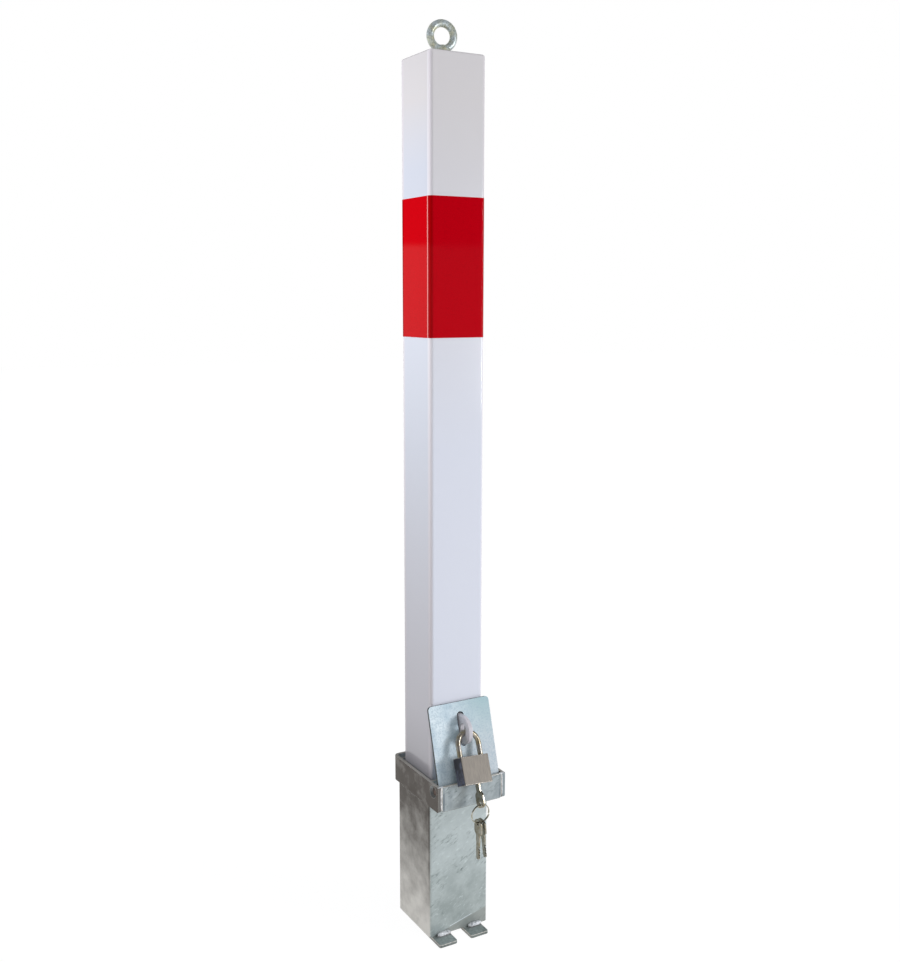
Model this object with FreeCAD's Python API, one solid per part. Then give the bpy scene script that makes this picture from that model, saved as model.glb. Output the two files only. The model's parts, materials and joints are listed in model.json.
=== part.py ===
"""Removable square bollard standing in its ground socket, locked by a padlock.

Millimetres. +Z is up, -Y is the side of the hinged lid, and +X is to the right
of someone who faces the lid. The origin is on the post's axis at the rim of the
socket's collar, which is the finished ground level.
"""
import FreeCAD, Part
import math
import os
from FreeCAD import Placement, Rotation, Vector

# Post: square tube with a welded cap, a lug for the padlock and a film band
post_width = 90.0
post_wall = 3.0
post_corner_r = 5.0
tube_least_inner_r = 0.8
post_above_rim = 1062.5
cap_thickness = 6.0
cap_edge_r = 4.0
film_thickness = 0.4
film_height = 200.0
film_below_top = 198.0

# Lug: D-shaped plate on the post's front face
lug_thickness = 8.0
lug_height = 44.0
lug_reach = 43.0
lug_centre_z = 72.0
lug_chamfer = 1.2
lug_hole_width = 14.0
lug_hole_height = 18.5
lug_hole_rise = 14.4
lug_front_rim = 11.5

# Bent round bars have a many-sided section, which keeps their facets few
bar_sides = 12

# Lifting eye, size M10, with its nuts and washer; it stands a little off the post's axis
thread_d = 10.0
thread_clearance = 0.05
eye_aside = -1.6
eye_outer_d = 46.0
eye_inner_d = 24.5
eye_height = 44.0
eye_collar_d = 25.0
eye_collar_h = 4.0
eye_cone_h = 4.5
eye_neck_d = 12.0
eye_shank_length = 24.0
eye_turn_deg = -10.0
washer_d = 20.0
washer_thickness = 2.0
washer_hole_d = 10.5
nut_across_flats = 17.0
lock_nut_h = 5.0
cap_nut_h = 8.0

# Socket: square tube that is set in the ground
socket_wall = 4.0
post_gap = 3.0
socket_corner_r = 4.0
socket_depth = 265.0

# Collar: bent flat bar round the head of the socket, closed by a front bar
collar_bar_t = 5.0
collar_height = 40.0
collar_side_gap = 2.0
collar_front_y = -91.6
collar_bend_r = 5.0
front_bar_chamfer = 4.0
seam_chamfer = 1.5

# Stop bars: two flat bars under the socket, which carry the post
stop_bar_t = 5.0
stop_bar_w = 32.0
stop_bar_overhang = 26.5
stop_bar_left_x = -32.4
stop_bar_right_x = 23.5
stop_bar_corner_r = 4.0

# Weld beads
foot_bead_size = 6.0
foot_bead_length = 23.0
foot_bead_shift = 4.5
collar_bead_length = 84.0
bead_bulge = 0.62

# Lid: plate with a rolled knuckle on a pin in the collar
pin_d = 12.0
pin_below_rim = 12.0
pin_behind_front = 16.6
pin_recess = 2.5
pin_clearance = 0.08
pin_end_chamfer = 1.0
countersink_d = 19.0
lid_thickness = 4.0
lid_length = 126.0
lid_side_gap = 0.8
lid_corner_r = 6.0
lid_rest_gap = 0.3
lid_slot_width = 12.0
lid_slot_end_gap = 3.2
knuckle_slit = 1.2
knuckle_lip_z = 1.5

# Padlock
shackle_d = 8.0
shackle_spacing = 37.0
shackle_rise = 36.4
shackle_aside = 1.0
shackle_seat_gap = 0.7
shackle_seat_deg = 60.0
heel_leg_in_body = 28.0
toe_leg_in_body = 9.0
leg_clearance = 0.3
leg_room = 2.5
leg_end_chamfer = 1.0
toe_notch_depth = 2.0
toe_notch_below_top = 3.0
toe_notch_height = 3.0
lock_width = 50.0
lock_height = 42.0
lock_thickness = 22.0
lock_edge_r = 1.2
lock_end_chamfer = 0.6
lock_rest_gap = 0.3
lock_yaw_deg = 6.0
lock_roll_deg = 6.0
plug_d = 14.0
plug_length = 31.0
plug_aside = 4.0
plug_clearance = 0.05
keyway_clearance = 0.2

# Keys and their split ring
key_thickness = 2.3
key_blade_w = 8.4
key_blade_length = 28.0
key_neck_w = 9.6
key_neck_length = 11.0
key_bow_w = 20.0
key_bow_length = 24.0
key_bow_corner_r = 7.0
key_hole_d = 6.4
key_hole_rim = 2.4
key_cut_pitch = 4.2
key_cut_depths = (1.2, 2.2, 1.6, 2.6, 1.4)
key_tip_chamfer = 2.5
ring_mean_r = 15.0
ring_wire_radial = 1.6
ring_wire_axial = 1.4
ring_coil_gap = 0.1
ring_split_deg = 3.0
ring_step_deg = 12.0
ring_slack = 0.45
ring_tilt_deg = 6.0
ring_end_deg = 14.0
spare_key_places = ((-2.5, 0.0), (3.6, 6.0))

# Places and sizes that follow from those above
socket_width = post_width + 2 * (post_gap + socket_wall)
post_front_y = -post_width / 2
post_bottom_z = -socket_depth
cap_bottom_z = post_above_rim - cap_thickness
film_top_z = post_above_rim - film_below_top
eye_seat_z = post_above_rim + washer_thickness + lock_nut_h
eye_centre_z = eye_seat_z + eye_height - eye_outer_d / 2
collar_inner_x = socket_width / 2 + collar_side_gap
collar_outer_x = collar_inner_x + collar_bar_t
collar_back_y = socket_width / 2
pin_y = collar_front_y + pin_behind_front
pin_z = -pin_below_rim
knuckle_bore_r = pin_d / 2 + pin_clearance
knuckle_r = knuckle_bore_r + lid_thickness
socket_top_z = pin_z + knuckle_r - lid_thickness - lid_rest_gap
lug_nose_r = lug_height / 2
lug_tip_y = post_front_y - lug_reach
lug_hole_y = lug_tip_y + lug_front_rim + lug_hole_width / 2
lug_hole_bottom_z = lug_centre_z - lug_nose_r + lug_hole_rise
lug_hole_top_z = lug_hole_bottom_z + lug_hole_height
shackle_r = shackle_d / 2
lock_top = -shackle_rise
lock_bottom = lock_top - lock_height
key_hole_below_shoulder = key_neck_length + key_bow_length - key_hole_rim - key_hole_d / 2
ring_axial = 2 * ring_wire_axial + ring_coil_gap
ring_drop = key_hole_d / 2 - math.hypot(ring_wire_radial, ring_axial) / 2 - ring_slack

FRONT = Vector(0, -1, 0)
BACK = Vector(0, 1, 0)
UP = Vector(0, 0, 1)
RIGHT = Vector(1, 0, 0)
ORIGIN = Vector(0, 0, 0)
TOUCH = 1e-6


def lid_lean_deg():
    """Angle from upright at which the lid's top edge rests on the post."""
    reach = post_front_y - lid_rest_gap - pin_y
    inner = knuckle_r - lid_thickness
    return math.degrees(math.asin(reach / math.hypot(lid_length, inner)) + math.atan2(inner, lid_length))


def lid_placement():
    """From the lid standing upright on the origin to the lid at rest on the pin."""
    return Placement(Vector(0, pin_y, pin_z), Rotation(RIGHT, -lid_lean_deg()))


def shackle_top():
    """Centre of the shackle's bar where it hangs in the foot of the lug's hole."""
    bow_centre_z = lug_hole_bottom_z + lug_hole_width / 2
    room = lug_hole_width / 2 - shackle_r - shackle_seat_gap
    seat = math.radians(shackle_seat_deg)
    return Vector(shackle_aside, lug_hole_y - room * math.sin(seat), bow_centre_z - room * math.cos(seat))


def lock_turn(lean_deg):
    return Rotation(UP, lock_yaw_deg) * Rotation(RIGHT, -lean_deg) * Rotation(BACK, lock_roll_deg)


def lock_lean_deg():
    """Lean at which the lock's back corner rests on the top edge of the front bar."""
    low, high = 0.0, 80.0
    while high - low > TOUCH:
        lean = (low + high) / 2
        turn = lock_turn(lean)
        corner = shackle_top() + turn.multVec(Vector(lock_width / 2, lock_thickness / 2, lock_top))
        down = turn.multVec(UP * -1)
        at_rim = corner + down * (-corner.z / down.z)
        if at_rim.y > collar_front_y - lock_rest_gap:
            low = lean
        else:
            high = lean
    return high


def lock_placement():
    """From the padlock hanging upright, its shackle's top at the origin, to its rest."""
    return Placement(shackle_top(), lock_turn(lock_lean_deg()))


def ring_down():
    """Direction from the top of the key ring to its bottom."""
    tilt = math.radians(ring_tilt_deg)
    return Vector(0, math.sin(tilt), -math.cos(tilt))


def ring_top():
    """Centre of the ring's wire where it hangs in the bow of the key in the lock."""
    hole = Vector(plug_aside, 0, lock_bottom - key_hole_below_shoulder)
    return lock_placement().multVec(hole) - UP * ring_drop


def ring_centre():
    return ring_top() + ring_down() * ring_mean_r


def spare_key_hang(aside):
    """Centre of the ring's wire where a spare key hangs on it."""
    drop = math.sqrt(ring_mean_r ** 2 - aside ** 2)
    return ring_centre() + RIGHT * aside + ring_down() * drop


def on_eye_axis(z):
    return Vector(eye_aside, 0, z)


def block(x0, x1, y0, y1, z0, z1):
    return Part.makeBox(x1 - x0, y1 - y0, z1 - z0, Vector(x0, y0, z0))


def cylinder(radius, start, axis, length):
    return Part.makeCylinder(radius, length, start, axis)


def rounded_prism(x0, x1, y0, y1, z0, z1, radius):
    """Upright block with its four vertical edges rounded."""
    solid = block(x0, x1, y0, y1, z0, z1)
    return solid.makeFillet(radius, edges_along(solid, UP))


def edges_along(solid, axis):
    """Straight edges of a solid that run along an axis."""
    found = []
    for edge in solid.Edges:
        if len(edge.Vertexes) != 2 or not isinstance(edge.Curve, Part.Line):
            continue
        direction = edge.Vertexes[1].Point - edge.Vertexes[0].Point
        if direction.cross(axis).Length < TOUCH * direction.Length:
            found.append(edge)
    return found


def edges_at(solid, axis, level):
    """Edges of a solid that lie wholly at one level along an axis."""
    found = []
    for edge in solid.Edges:
        points = [corner.Point for corner in edge.Vertexes] + [edge.CenterOfMass]
        if all(abs(point.dot(axis) - level) < TOUCH for point in points):
            found.append(edge)
    return found


def square_tube(side, wall, corner_r, z0, z1):
    half = side / 2
    inner = half - wall
    outside = rounded_prism(-half, half, -half, half, z0, z1, corner_r)
    inner_r = max(corner_r - wall, tube_least_inner_r)
    return outside.cut(rounded_prism(-inner, inner, -inner, inner, z0, z1, inner_r))


def many_sided_face(sides, corner_r, centre):
    """Flat face across Z with equal sides, its corners on a circle."""
    turns = [2 * math.pi * corner / sides for corner in range(sides)]
    points = [centre + Vector(corner_r * math.cos(turn), corner_r * math.sin(turn), 0) for turn in turns]
    return Part.Face(Part.makePolygon(points + points[:1]))


def hexagon_nut(across_flats, bore_r, foot, height):
    corner_r = across_flats / 2 / math.cos(math.radians(30))
    body = many_sided_face(6, corner_r, foot).extrude(UP * height)
    return body.cut(cylinder(bore_r, foot, UP, height))


def obround(centre, width, height, depth, axis):
    """Slot tool: a stadium section that stands along Z, cut through along an axis."""
    side = UP.cross(axis)
    rise = (height - width) / 2
    radius = width / 2
    low, high = centre - UP * rise, centre + UP * rise
    path = [Part.LineSegment(low + side * radius, high + side * radius).toShape(),
            Part.Arc(high + side * radius, high + UP * radius, high - side * radius).toShape(),
            Part.LineSegment(high - side * radius, low - side * radius).toShape(),
            Part.Arc(low - side * radius, low - UP * radius, low + side * radius).toShape()]
    return Part.Face(Part.Wire(path)).extrude(axis * depth)


# Post

def post_tube():
    return square_tube(post_width, post_wall, post_corner_r, post_bottom_z, cap_bottom_z)


def top_cap():
    half = post_width / 2
    cap = rounded_prism(-half, half, -half, half, cap_bottom_z, post_above_rim, post_corner_r)
    cap = cap.makeFillet(cap_edge_r, edges_at(cap, UP, post_above_rim))
    return cap.cut(cylinder(washer_hole_d / 2, on_eye_axis(cap_bottom_z), UP, cap_thickness))


def reflective_band():
    side = post_width + 2 * film_thickness
    return square_tube(side, film_thickness, post_corner_r + film_thickness,
                       film_top_z - film_height, film_top_z)


def locking_lug():
    """D-shaped plate in the plane of Y and Z, with an upright slot for the shackle."""
    nose_y = lug_tip_y + lug_nose_r
    x0 = -lug_thickness / 2
    top, bottom = lug_centre_z + lug_nose_r, lug_centre_z - lug_nose_r
    outline = [Part.LineSegment(Vector(x0, nose_y, bottom), Vector(x0, post_front_y, bottom)).toShape(),
               Part.LineSegment(Vector(x0, post_front_y, bottom), Vector(x0, post_front_y, top)).toShape(),
               Part.LineSegment(Vector(x0, post_front_y, top), Vector(x0, nose_y, top)).toShape(),
               Part.Arc(Vector(x0, nose_y, top), Vector(x0, lug_tip_y, lug_centre_z),
                        Vector(x0, nose_y, bottom)).toShape()]
    plate = Part.Face(Part.Wire(outline)).extrude(RIGHT * lug_thickness)
    hole_centre = Vector(x0, lug_hole_y, (lug_hole_bottom_z + lug_hole_top_z) / 2)
    plate = plate.cut(obround(hole_centre, lug_hole_width, lug_hole_height, lug_thickness, RIGHT))
    sides = [edge for level in (x0, -x0) for edge in edges_at(plate, RIGHT, level)
             if edge.CenterOfMass.y < post_front_y - TOUCH]
    return plate.makeChamfer(lug_chamfer, sides)


def washer():
    foot = on_eye_axis(post_above_rim)
    ring = cylinder(washer_d / 2, foot, UP, washer_thickness)
    return ring.cut(cylinder(washer_hole_d / 2, foot, UP, washer_thickness))


def lock_nut():
    foot = on_eye_axis(post_above_rim + washer_thickness)
    return hexagon_nut(nut_across_flats, thread_d / 2, foot, lock_nut_h)


def cap_nut():
    return hexagon_nut(nut_across_flats, thread_d / 2, on_eye_axis(cap_bottom_z - cap_nut_h), cap_nut_h)


def eyebolt():
    """Forged ring on a round collar, with its threaded shank as a plain cylinder."""
    ring_r = (eye_outer_d + eye_inner_d) / 4
    section_r = (eye_outer_d - eye_inner_d) / 4
    centre = on_eye_axis(eye_centre_z)
    seat = on_eye_axis(eye_seat_z)
    ring = many_sided_face(bar_sides, section_r, centre + RIGHT * ring_r).revolve(centre, BACK, 360)
    ring = ring.cut(cylinder(eye_outer_d, seat, UP * -1, eye_outer_d))
    collar = cylinder(eye_collar_d / 2, seat, UP, eye_collar_h)
    neck = Part.makeCone(eye_collar_d / 2, eye_neck_d / 2, eye_cone_h, seat + UP * eye_collar_h, UP)
    shank_foot = on_eye_axis(eye_seat_z - eye_shank_length)
    shank = cylinder(thread_d / 2 - thread_clearance, shank_foot, UP, eye_shank_length + eye_collar_h / 2)
    bolt = ring.fuse([collar, neck, shank])
    bolt.rotate(centre, UP, eye_turn_deg)
    return bolt


# Socket

def socket_tube():
    return square_tube(socket_width, socket_wall, socket_corner_r, -socket_depth, socket_top_z)


def pin_hole(side):
    """Hole for the hinge pin in one side of the collar, countersunk from outside."""
    outside = Vector(side * collar_outer_x, pin_y, pin_z)
    inward = RIGHT * -side
    cone_depth = countersink_d / 2 - knuckle_bore_r
    sink = Part.makeCone(countersink_d / 2, knuckle_bore_r, cone_depth, outside, inward)
    return cylinder(knuckle_bore_r, outside, inward, collar_bar_t).fuse(sink)


def collar_band():
    """Flat bar on edge, bent to a U round the back of the socket."""
    back = collar_back_y + collar_bar_t
    outer_r = collar_bend_r + collar_bar_t
    past_front = collar_front_y - 2 * outer_r
    outside = rounded_prism(-collar_outer_x, collar_outer_x, past_front, back, -collar_height, 0, outer_r)
    inside = rounded_prism(-collar_inner_x, collar_inner_x, past_front, collar_back_y,
                           -collar_height, 0, collar_bend_r)
    ahead = block(-collar_outer_x, collar_outer_x, past_front, collar_front_y, -collar_height, 0)
    return outside.cut([inside, ahead, pin_hole(-1), pin_hole(1)])


def collar_front_bar():
    """Straight piece of the same bar, welded in between the ends of the U."""
    back_y = collar_front_y + collar_bar_t
    bar = block(-collar_inner_x, collar_inner_x, collar_front_y, back_y, -collar_height, 0)
    low_edges = edges_at(bar, UP, -collar_height)
    low_corners = [edge for edge in low_edges if abs(edge.CenterOfMass.x) > collar_inner_x / 2]
    bar = bar.makeChamfer(front_bar_chamfer, low_corners)
    seams = [edge for edge in edges_along(bar, UP) if edge.CenterOfMass.y < back_y - collar_bar_t / 2]
    return bar.makeChamfer(seam_chamfer, seams)


def stop_bar(centre_x):
    """Flat bar across the foot of the socket, its front end standing out."""
    half = stop_bar_w / 2
    front = -socket_width / 2 - stop_bar_overhang
    bar = block(centre_x - half, centre_x + half, front, socket_width / 2,
                -socket_depth - stop_bar_t, -socket_depth)
    corners = [edge for edge in edges_along(bar, UP) if edge.CenterOfMass.y < 0]
    return bar.makeFillet(stop_bar_corner_r, corners)


def bead(start, along, length, side_a, side_b):
    """Fillet weld: a corner filled between two directions, with a bulging face."""
    tip_a, tip_b = start + side_a, start + side_b
    bulge = start + (side_a + side_b) * bead_bulge
    section = Part.Wire([Part.LineSegment(tip_b, start).toShape(), Part.LineSegment(start, tip_a).toShape(),
                         Part.Arc(tip_a, bulge, tip_b).toShape()])
    return Part.Face(section).extrude(along * length)


def foot_welds():
    """Beads between the socket's front face and the top of each stop bar."""
    front = -socket_width / 2
    beads = []
    for centre_x in (stop_bar_left_x, stop_bar_right_x):
        start = Vector(centre_x + foot_bead_shift - foot_bead_length / 2, front, -socket_depth)
        beads.append(bead(start, RIGHT, foot_bead_length, FRONT * foot_bead_size, UP * foot_bead_size))
    return Part.makeCompound(beads)


def collar_welds():
    """Beads under the collar's sides, between the bar's lower edge and the tube."""
    width = collar_side_gap + collar_bar_t
    beads = []
    for side in (-1, 1):
        start = Vector(side * socket_width / 2, -collar_bead_length / 2, -collar_height)
        beads.append(bead(start, BACK, collar_bead_length, RIGHT * side * width, UP * -width))
    return Part.makeCompound(beads)


def hinge_pin():
    """Plain round pin that ends inside the countersinks of the collar's sides."""
    half = collar_outer_x - pin_recess
    pin = cylinder(pin_d / 2, Vector(-half, pin_y, pin_z), RIGHT, 2 * half)
    ends = edges_at(pin, RIGHT, -half) + edges_at(pin, RIGHT, half)
    return pin.makeChamfer(pin_end_chamfer, ends)


def lid_plate():
    """Plate with one edge rolled round the pin, and a slot for the lug."""
    half = collar_inner_x - lid_side_gap
    outer_y = -knuckle_r
    plate = block(-half, half, outer_y, outer_y + lid_thickness, 0, lid_length)
    corners = [edge for edge in edges_along(plate, BACK) if edge.CenterOfMass.z > lid_length / 2]
    plate = plate.makeFillet(lid_corner_r, corners)
    lid = plate.fuse(cylinder(knuckle_r, Vector(-half, 0, 0), RIGHT, 2 * half))
    lid = lid.cut(cylinder(knuckle_bore_r, Vector(-half, 0, 0), RIGHT, 2 * half))
    inner_y = outer_y + lid_thickness
    lid = lid.cut(block(-half, half, inner_y, inner_y + knuckle_slit, knuckle_lip_z, knuckle_r))
    lean = math.radians(lid_lean_deg())
    along = (lug_centre_z - pin_z - knuckle_r * math.sin(lean)) / math.cos(lean)
    height = lug_height / math.cos(lean) + 2 * lid_slot_end_gap
    slot = obround(Vector(0, outer_y, along), lid_slot_width, height, -lid_thickness, FRONT)
    lid = lid.cut(slot)
    lid.Placement = lid_placement()
    return lid


# Padlock, modelled hanging upright with the top of its shackle at the origin

def placed(solid):
    solid.Placement = lock_placement() * solid.Placement
    return solid


def shackle():
    """Round bar bent to a U, with a long heel leg on the left and a short toe leg."""
    half = shackle_spacing / 2
    bend_z = -half
    section = many_sided_face(bar_sides, shackle_r, Vector(half, 0, bend_z))
    solid = section.revolve(Vector(0, 0, bend_z), FRONT, 180)
    for side, reach in ((-1, heel_leg_in_body), (1, toe_leg_in_body)):
        foot_z = lock_top - reach
        section = many_sided_face(bar_sides, shackle_r, Vector(side * half, 0, foot_z))
        leg = section.extrude(UP * (bend_z - foot_z))
        leg = leg.makeChamfer(leg_end_chamfer, edges_at(leg, UP, foot_z))
        solid = solid.fuse(leg)
    notch_top = lock_top - toe_notch_below_top
    inner = half - shackle_r
    notch = block(inner, inner + toe_notch_depth, -shackle_r, shackle_r,
                  notch_top - toe_notch_height, notch_top)
    return placed(solid.cut(notch).removeSplitter())


def lock_body():
    """Solid block with two blind bores for the shackle and one for the plug."""
    half_w, half_t = lock_width / 2, lock_thickness / 2
    body = rounded_prism(-half_w, half_w, -half_t, half_t, lock_bottom, lock_top, lock_edge_r)
    ends = edges_at(body, UP, lock_bottom) + edges_at(body, UP, lock_top)
    body = body.makeChamfer(lock_end_chamfer, ends)
    half = shackle_spacing / 2
    bore_r = shackle_r + leg_clearance
    for side, reach in ((-1, heel_leg_in_body), (1, toe_leg_in_body)):
        depth = reach + leg_room
        body = body.cut(cylinder(bore_r, Vector(side * half, 0, lock_top - depth), UP, depth))
    body = body.cut(cylinder(plug_d / 2, Vector(plug_aside, 0, lock_bottom), UP, plug_length))
    return placed(body)


def cylinder_plug():
    """Turning core of the lock, with the keyway cut across it."""
    foot = Vector(plug_aside, 0, lock_bottom)
    plug = cylinder(plug_d / 2 - plug_clearance, foot, UP, plug_length - plug_clearance)
    half_x = key_thickness / 2 + keyway_clearance
    half_y = key_blade_w / 2 + keyway_clearance
    keyway = block(plug_aside - half_x, plug_aside + half_x, -half_y, half_y,
                   lock_bottom, lock_bottom + key_blade_length + keyway_clearance)
    return placed(plug.cut(keyway))


def key_blank():
    """Flat key, its shoulder at the origin, blade up and bow down, cuts facing -Y."""
    x0 = -key_thickness / 2
    half_blade, half_neck, half_bow = key_blade_w / 2, key_neck_w / 2, key_bow_w / 2
    blade = block(x0, -x0, -half_blade, half_blade, 0, key_blade_length)
    tip_edges = edges_at(blade, UP, key_blade_length)
    tip = [edge for edge in tip_edges if abs(edge.CenterOfMass.y) > half_blade / 2]
    blade = blade.makeChamfer(key_tip_chamfer, tip)
    first_cut = key_blade_length - key_tip_chamfer - key_cut_pitch / 2
    for place, depth in enumerate(key_cut_depths):
        cut_z = first_cut - place * key_cut_pitch
        corners = [Vector(x0, -half_blade, cut_z - depth), Vector(x0, -half_blade + depth, cut_z),
                   Vector(x0, -half_blade, cut_z + depth), Vector(x0, -half_blade, cut_z - depth)]
        blade = blade.cut(Part.Face(Part.makePolygon(corners)).extrude(RIGHT * key_thickness))
    neck = block(x0, -x0, -half_neck, half_neck, -key_neck_length - half_neck, 0)
    bow_top = -key_neck_length
    bow = block(x0, -x0, -half_bow, half_bow, bow_top - key_bow_length, bow_top)
    bow = bow.makeFillet(key_bow_corner_r, edges_along(bow, RIGHT))
    key = blade.fuse([neck, bow]).removeSplitter()
    hole = cylinder(key_hole_d / 2, Vector(x0, 0, -key_hole_below_shoulder), RIGHT, key_thickness)
    return key.cut(hole)


def key_in_lock():
    key = key_blank()
    key.translate(Vector(plug_aside, 0, lock_bottom))
    return placed(key)


def ring_sector(y0, y1, start_deg, sweep_deg):
    """Part of a flat coil about the Y axis, from one angle on."""
    inner, outer = ring_mean_r - ring_wire_radial / 2, ring_mean_r + ring_wire_radial / 2
    corners = [Vector(inner, y0, 0), Vector(outer, y0, 0), Vector(outer, y1, 0), Vector(inner, y1, 0)]
    section = Part.Face(Part.makePolygon(corners + corners[:1]))
    section.rotate(ORIGIN, BACK, start_deg)
    return section.revolve(ORIGIN, BACK, sweep_deg)


def key_ring():
    """Split ring: two flat coils side by side, joined where the wire steps over."""
    half_gap = ring_coil_gap / 2
    sweep = 360 - ring_split_deg
    front = ring_sector(-half_gap - ring_wire_axial, -half_gap, ring_end_deg, sweep)
    back = ring_sector(half_gap, half_gap + ring_wire_axial, -ring_end_deg + ring_split_deg, sweep)
    step = ring_sector(-half_gap, half_gap, -ring_step_deg / 2, ring_step_deg)
    ring = front.fuse([back, step]).removeSplitter()
    ring.Placement = Placement(ring_centre(), Rotation(RIGHT, ring_tilt_deg))
    return ring


def spare_key(aside, splay_deg):
    """Key hanging by its bow from the bottom of the ring."""
    key = key_blank()
    key.translate(UP * key_hole_below_shoulder)
    key.rotate(ORIGIN, BACK, 180)
    key.translate(UP * -ring_drop)
    key.rotate(ORIGIN, BACK, -splay_deg)
    key.translate(spare_key_hang(aside))
    return key


def build():
    nodes = {
        "socket_tube": socket_tube(), "collar_band": collar_band(), "collar_front_bar": collar_front_bar(),
        "stop_bar_left": stop_bar(stop_bar_left_x), "stop_bar_right": stop_bar(stop_bar_right_x),
        "foot_welds": foot_welds(), "collar_welds": collar_welds(), "hinge_pin": hinge_pin(),
        "post_tube": post_tube(), "top_cap": top_cap(), "reflective_band": reflective_band(),
        "locking_lug": locking_lug(), "washer": washer(), "lock_nut": lock_nut(), "cap_nut": cap_nut(),
        "eyebolt": eyebolt(), "lid_plate": lid_plate(), "shackle": shackle(), "lock_body": lock_body(),
        "cylinder_plug": cylinder_plug(), "key_in_lock": key_in_lock(), "key_ring": key_ring(),
    }
    for number, (aside, splay_deg) in enumerate(spare_key_places, start=1):
        nodes["spare_key_%d" % number] = spare_key(aside, splay_deg)
    return nodes


os.makedirs("parts", exist_ok=True)
for name, shape in build().items():
    shape.exportStep("parts/%s.step" % name)
    print("%-18s %9.1f mm3  valid %s  solids %d" % (name, shape.Volume, shape.isValid(), len(shape.Solids)))
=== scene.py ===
"""Looks of a removable square bollard that stands in its ground socket, locked by a padlock."""
import json
import math

import bmesh
import bpy
from mathutils import Matrix, Vector, noise


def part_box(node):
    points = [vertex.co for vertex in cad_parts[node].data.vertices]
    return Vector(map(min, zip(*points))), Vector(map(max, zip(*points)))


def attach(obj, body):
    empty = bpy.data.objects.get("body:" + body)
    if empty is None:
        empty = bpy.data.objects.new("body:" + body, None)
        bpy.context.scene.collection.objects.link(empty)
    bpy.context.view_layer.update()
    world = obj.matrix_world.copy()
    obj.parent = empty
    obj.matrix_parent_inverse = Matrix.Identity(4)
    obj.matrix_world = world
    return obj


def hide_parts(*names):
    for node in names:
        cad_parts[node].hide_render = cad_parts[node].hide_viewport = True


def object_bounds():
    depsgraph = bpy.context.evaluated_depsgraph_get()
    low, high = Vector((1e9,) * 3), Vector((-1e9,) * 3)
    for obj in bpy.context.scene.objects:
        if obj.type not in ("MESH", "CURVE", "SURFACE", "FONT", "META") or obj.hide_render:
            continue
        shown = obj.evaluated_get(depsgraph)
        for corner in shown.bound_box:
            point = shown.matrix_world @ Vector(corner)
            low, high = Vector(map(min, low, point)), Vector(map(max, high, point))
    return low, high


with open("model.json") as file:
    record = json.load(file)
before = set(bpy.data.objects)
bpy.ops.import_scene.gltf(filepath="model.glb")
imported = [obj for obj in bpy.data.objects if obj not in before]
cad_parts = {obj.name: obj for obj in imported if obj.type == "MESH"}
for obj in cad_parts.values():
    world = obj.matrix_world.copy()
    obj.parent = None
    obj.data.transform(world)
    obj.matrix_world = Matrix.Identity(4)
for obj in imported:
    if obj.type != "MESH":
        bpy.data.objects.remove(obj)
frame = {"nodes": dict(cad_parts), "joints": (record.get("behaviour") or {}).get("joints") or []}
cad_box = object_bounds()
MM = 0.001


# Camera
# A normal lens at hip height, in front of the bollard and to its left, tipped down so that the
# whole bollard fits an upright picture.
camera_place = Vector((-825.1, -1464.9, 721.2)) * MM
camera_lens_mm, camera_sensor_mm, camera_near = 41.9, 36, 0.05
camera_down_deg, camera_right_deg, camera_roll_deg = 9.27, 29.77, 0.08

camera_data = bpy.data.cameras.new("camera")
camera_data.lens = camera_lens_mm
camera_data.sensor_width = camera_sensor_mm
camera_data.clip_start = camera_near
camera = bpy.data.objects.new("camera", camera_data)
camera.rotation_mode = "QUATERNION"
camera.rotation_quaternion = (
    Matrix.Rotation(math.radians(-camera_right_deg), 3, "Z")
    @ Matrix.Rotation(math.radians(90 - camera_down_deg), 3, "X")
    @ Matrix.Rotation(math.radians(camera_roll_deg), 3, "Z")).to_quaternion()
camera.location = camera_place
bpy.context.scene.collection.objects.link(camera)
bpy.context.scene.camera = camera
bpy.context.scene.view_settings.view_transform = "Standard"


# Floor and studio light
# A white floor at the underside of the stop bars, and a white studio whose upper part is dim
# as a reflection. A small lamp with a narrow beam stands high on the left, behind the post, and
# a larger one stands low at the right front.
floor_size = 30
floor_matt, floor_glow, floor_shadow_share = "#E6E6E6", 1.08, 0.1
backdrop_dim, backdrop_dim_from, backdrop_dim_to = 0.1, 0.043, 0.048
ambient_tint, ambient_back, ambient_front = "#EDF0F6", 0.28, 0.95
ambient_from, ambient_to = -0.1, 1.0
front_direction = (0.35, -0.93, 0.1)
lamp_tint = "#F6F8FF"


def colour(hex_code):
    """Linear colour of an sRGB hex code."""
    channels = [int(hex_code[i:i + 2], 16) / 255 for i in (1, 3, 5)]
    linear = [c / 12.92 if c <= 0.04045 else ((c + 0.055) / 1.055) ** 2.4 for c in channels]
    return (*linear, 1.0)


def node(tree, kind, inputs=None, **settings):
    """Adds a shader node; each input is a value, a hex colour or another node's output."""
    made = tree.nodes.new(kind)
    for name, value in settings.items():
        setattr(made, name, value)
    for name, value in (inputs or {}).items():
        if isinstance(value, bpy.types.NodeSocket):
            tree.links.new(value, made.inputs[name])
        else:
            made.inputs[name].default_value = colour(value) if isinstance(value, str) else value
    return made


def sees_background(tree):
    """Factor that is 1 for the rays that see the background as it is."""
    rays = node(tree, "ShaderNodeLightPath").outputs
    seen = node(tree, "ShaderNodeMath", {0: rays["Is Camera Ray"], 1: rays["Is Glossy Ray"]},
                operation="MAXIMUM")
    return node(tree, "ShaderNodeMath", {0: seen.outputs[0], 1: rays["Is Transmission Ray"]},
                operation="MAXIMUM").outputs[0]


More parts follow.
